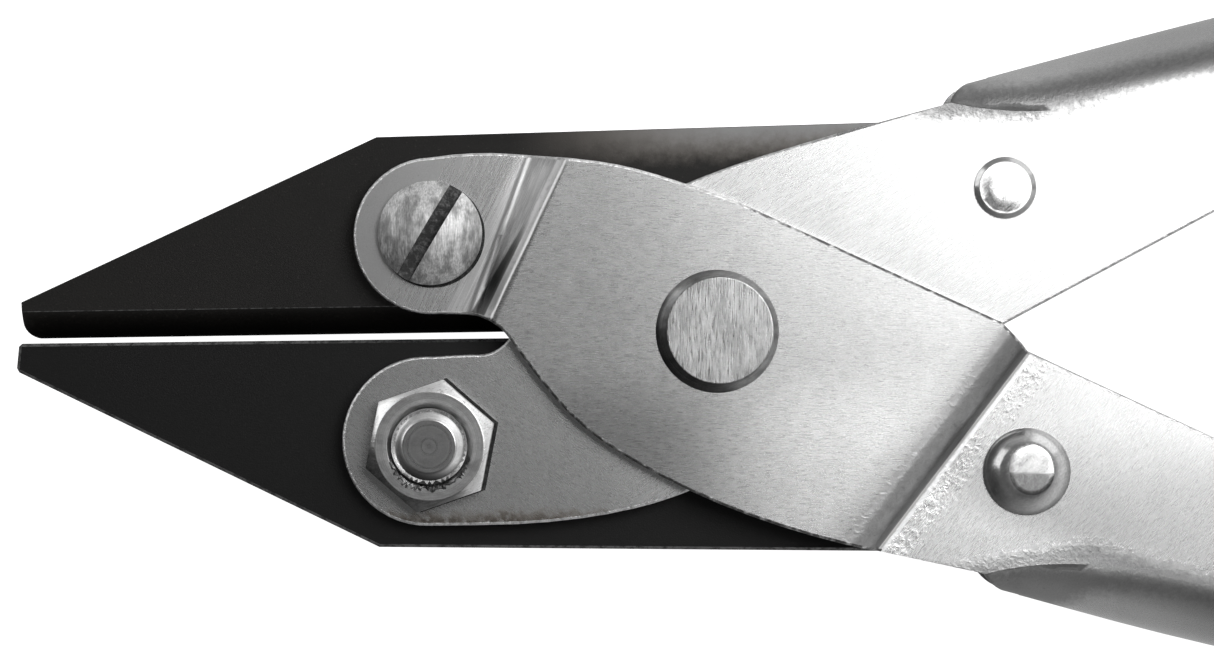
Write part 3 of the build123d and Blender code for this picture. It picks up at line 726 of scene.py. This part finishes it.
def torn_lip(name, centre, body, side, material):
    """The torn lip that peening left round the lower part of the screw's end."""
    chance = random.Random(LIP_SEED)
    start, end = LIP_TURNS
    b = bmesh.new()
    rows = []
    for i in range(LIP_STEPS + 1):
        turn = math.radians(start + (end - start) * i / LIP_STEPS)
        swell = math.sin(math.pi * i / LIP_STEPS) ** 0.5
        near = (LIP_R + 0.1 * chance.random()) * MM
        far = near + (0.06 + 0.5 * swell * chance.random()) * MM
        top = NUT_TOP + (0.02 + 0.3 * swell * chance.random()) * MM
        outline = [
            (near, LIP_FOOT),
            (near, top),
            ((near + far) / 2, top + 0.04 * MM),
            (far, top - 0.12 * MM),
            (far, LIP_FOOT),
        ]
        row = []
        for radius, height in outline:
            x = centre.x + radius * math.cos(turn)
            y = centre.y + radius * math.sin(turn)
            row.append(b.verts.new((x, y, PIVOT.z + side * height)))
        rows.append(row)
    for one, two in zip(rows, rows[1:]):
        for k in range(len(one)):
            m = (k + 1) % len(one)
            b.faces.new((one[k], one[m], two[m], two[k]))
    b.faces.new(rows[0])
    b.faces.new(rows[-1])
    smooth(add_solid(name, b, material, body).data, 40)


def slide_rivet_place(node):
    """The middle of a slide rivet, which is on its axis."""
    corners = [NODES[node].matrix_world @ Vector(c) for c in NODES[node].bound_box]
    return sum(corners, Vector()) / len(corners)


def build_jaws_and_handles():
    jaw = [black_oxide(), oxide_edge()]
    for node in ("upper_jaw", "lower_jaw"):
        refined(node, jaw, JAW_EDGE, segments=1, smooth_angle=25)
    # A painted shadow darkens the outer sheet's edges where they lie over the inner handle.
    outer = [outer_sheet(), filed_edge("outer_edge", tucked_edge_shadow)]
    inner = [inner_sheet(), filed_edge("filed_edge")]
    for node, materials in (("outer_handle", outer), ("inner_handle", inner)):
        refined(node, materials, SHEET_EDGE, segments=3, smooth_angle=55,
                folded=True)


def build_rivets():
    face = fastener("main_rivet_steel", 88, base=0.45, mottle=0.35, lines=0.55, rough=0.3)
    # The bevel is painted darker on its lower left, as shade.
    bevel = fastener("main_rivet_bevel", 10, base=0.3, mottle=0.5, lines=0.2, rough=0.3,
                     centre=PIVOT, shaded_side=(CENTRE, -145, 0.6, 2.4, 0.3))
    for node in ("main_rivet_front", "main_rivet_back"):
        refined(node, [face, bevel], RIVET_EDGE, segments=2, smooth_angle=20,
                choose=bevel_ring, reshape=lean)

    hammered = {"base": 0.6, "mottle": 0.15, "lines": 0.05, "rough": 0.2, "depth": 0.0008}
    dome = fastener("slide_rivet_steel", 40, **hammered)
    for node, side in (("outer_handle_slide_rivet", 1), ("inner_handle_slide_rivet", -1)):
        centre = slide_rivet_place(node)
        # Each flat is painted darker below its middle, as shade.
        flat = fastener(node + "_flat", 40, **hammered,
                        shaded_side=(from_pivot(centre), -90, -0.05, 0.2, 0.42))
        refined(node, [dome, dome, flat], RIVET_EDGE, segments=2, smooth_angle=14,
                choose=hammered_flat(centre, side), reshape=flatten(centre, side))


def build_screw(node, nut, centre, side, nut_turn, head, slot_grime_and_shade, gap_shadow, lip):
    """A jaw's pivot screw and its nut, which has a corner at nut_turn degrees from +X."""
    axis = from_pivot(centre)
    tip = fastener(node + "_tip", 0, base=0.28, mottle=0.15, lines=0.05, rough=0.3, depth=0.0005,
                   centre=centre)
    # The cone is painted dark on its lower side, as shade.
    cone = fastener(node + "_cone", 0, base=0.75, mottle=0.2, lines=0.2, rough=0.3, depth=0.001,
                    centre=centre, shaded_side=(axis, -95, 0.6, 2.2, 0.12))
    turned = fastener(nut + "_face", 0, base=0.38, mottle=0.25, lines=0.4, rough=0.34,
                      centre=centre)
    # The chamfer is painted darker on its lower left, as shade.
    chamfer = fastener(nut + "_chamfer", 20, base=1.0, mottle=0.3, lines=0.4, rough=0.32,
                       depth=0.005, shaded_side=(axis, -120, 0.6, 2.4, 0.22))
    # The slot's floor is muck with painted shade, and its walls painted shadow.
    refined(node, [head, head, slot_grime_and_shade, gap_shadow, tip, cone], SCREW_EDGE, segments=2,
            smooth_angle=20, choose=end_or_slot(centre, side), reshape=worn_end(centre, side))
    # The nut's bore is painted shade.
    refined(nut, [turned, chamfer, gap_shadow], NUT_EDGE, segments=2, smooth_angle=18,
            hard_angle=20, choose=nut_part(centre, -side))
    body = BODY_OF[node]
    # Painted shadows round the head and the nut, a little to the lower right and to the right.
    under_head = circle(HEAD_R + 0.05 * MM, (0.13 * MM, -0.13 * MM))
    under_nut = hexagon(NUT_FLAT_R + 0.06 * MM, nut_turn, (0.2 * MM, 0.02 * MM))
    shadow_patch(node + "_gap", centre, under_head, body, side, gap_shadow)
    shadow_patch(nut + "_gap", centre, under_nut, body, -side, gap_shadow)
    torn_lip(nut + "_burr", centre, body, -side, lip)


def build_screws():
    head = fastener("screw_head", 88, base=0.58, mottle=0.7, lines=0.5, rough=0.58, depth=0.004)
    # Muck with painted shade for the slot's floor; painted shadow for the slot's walls, the nut's bore and round
    # the fasteners.
    slot_grime_and_shade = grime_and_shade("slot_floor_grime_and_shade", 0.045)
    gap_shadow = grime_and_shade("painted_gap_shadow", 0.012)
    lip = filed_edge("torn_lip", darkened_lip)
    for node, nut, centre, side, nut_turn in (
        ("upper_jaw_screw", "upper_jaw_nut", UPPER_PIVOT, 1, 6.6),
        ("lower_jaw_screw", "lower_jaw_nut", LOWER_PIVOT, -1, 18.4),
    ):
        build_screw(node, nut, centre, side, nut_turn, head, slot_grime_and_shade, gap_shadow, lip)


# ---- floor, light and camera -----------------------------------------------------------------
FLOOR_HALF = 3.0
FLOOR_DROP = 0.0001              # below the tool, so that no face lies in the floor
FLOOR_GREY = 0.8
WALL = 0.48                      # the room's walls, on average
WALL_SWING = 0.45                # how much brighter and darker they get
WALL_BRIGHT_SIDE = 20.0          # degrees from +X
CEILING = 0.123


def floor():
    mesh = bpy.data.meshes.new("floor")
    corners = [(x * FLOOR_HALF, y * FLOOR_HALF, 0) for x, y in ((-1, -1), (1, -1), (1, 1), (-1, 1))]
    mesh.from_pydata(corners, [], [(0, 1, 2, 3)])
    n = Nodes("floor")
    value = n.plus(FLOOR_GREY, (n.noise(n.place(), 0.008), 0.01))
    n.put(n.shader.inputs["Emission Color"], (1, 1, 1, 1))
    mesh.materials.append(n.finish(n.grey(value), 0.9, Emission_Strength=1.0))
    piece = bpy.data.objects.new("floor", mesh)
    piece.location.z = -FLOOR_DROP
    piece.visible_glossy = False
    bpy.context.scene.collection.objects.link(piece)


def softbox(name, place, target, size, radiance):
    """A rectangular light as bright, seen head on, as a white wall of that radiance."""
    light = bpy.data.lights.new(name, "AREA")
    light.shape = "RECTANGLE"
    light.size, light.size_y = size
    light.energy = radiance * math.pi * size[0] * size[1]
    lamp = bpy.data.objects.new(name, light)
    lamp.location = place
    lamp.rotation_euler = (Vector(target) - Vector(place)).to_track_quat("-Z", "Y").to_euler()
    bpy.context.scene.collection.objects.link(lamp)


def surroundings():
    """A dim ceiling over walls that are bright on one side of the room and dark on the other."""
    world = bpy.data.worlds.new("studio")
    world.use_nodes = True
    tree = world.node_tree
    way = tree.nodes.new("ShaderNodeTexCoord").outputs["Generated"]
    a = math.radians(WALL_BRIGHT_SIDE)
    towards = tree.nodes.new("ShaderNodeVectorMath")
    towards.operation = "DOT_PRODUCT"
    towards.inputs[1].default_value = (math.cos(a), math.sin(a), 0)
    tree.links.new(way, towards.inputs[0])
    wall = tree.nodes.new("ShaderNodeMath")
    wall.operation = "MULTIPLY_ADD"
    wall.inputs[1].default_value = WALL_SWING
    wall.inputs[2].default_value = WALL
    tree.links.new(towards.outputs["Value"], wall.inputs[0])
    split = tree.nodes.new("ShaderNodeSeparateXYZ")
    tree.links.new(way, split.inputs[0])
    blend = tree.nodes.new("ShaderNodeMapRange")
    blend.inputs["From Min"].default_value = 0.1
    blend.inputs["From Max"].default_value = 0.9
    blend.inputs["To Max"].default_value = CEILING
    tree.links.new(split.outputs["Z"], blend.inputs["Value"])
    tree.links.new(wall.outputs[0], blend.inputs["To Min"])
    tree.links.new(blend.outputs[0], tree.nodes["Background"].inputs[0])
    bpy.context.scene.world = world


def lights():
    softbox("key", place=(0.066, 0.081, 0.286), target=(-0.028, -0.011, 0.01), size=(0.133, 0.18),
            radiance=4.6)
    softbox("side", place=(0.20, 0.28, 0.10), target=PIVOT, size=(0.3, 0.2), radiance=0.6)
    softbox("left", place=(PIVOT.x - 0.26, 0.14, 0.19), target=PIVOT, size=(0.22, 0.22),
            radiance=1.2)


CAMERA_HEIGHT = 0.4              # above the tool's middle plane
CAMERA_AHEAD = 0.007277          # the camera looks down a little ahead of the main pivot
CAMERA_ASIDE = 0.000064
CAMERA_ROLL = 0.64               # degrees
FRAME_WIDTH = 0.08174            # what the frame is wide in the middle plane


def camera():
    data = bpy.data.cameras.new("camera")
    data.sensor_fit = "HORIZONTAL"
    data.sensor_width = 36.0
    data.lens = data.sensor_width * CAMERA_HEIGHT / FRAME_WIDTH
    data.clip_start = 0.01
    piece = bpy.data.objects.new("camera", data)
    piece.location = (PIVOT.x - CAMERA_AHEAD, -CAMERA_ASIDE, PIVOT.z + CAMERA_HEIGHT)
    piece.rotation_euler = (0, 0, -math.radians(CAMERA_ROLL))
    bpy.context.scene.collection.objects.link(piece)
    bpy.context.scene.camera = piece


build_jaws_and_handles()
build_rivets()
build_screws()
floor()
surroundings()
lights()
camera()
bpy.context.scene.view_settings.view_transform = "Standard"
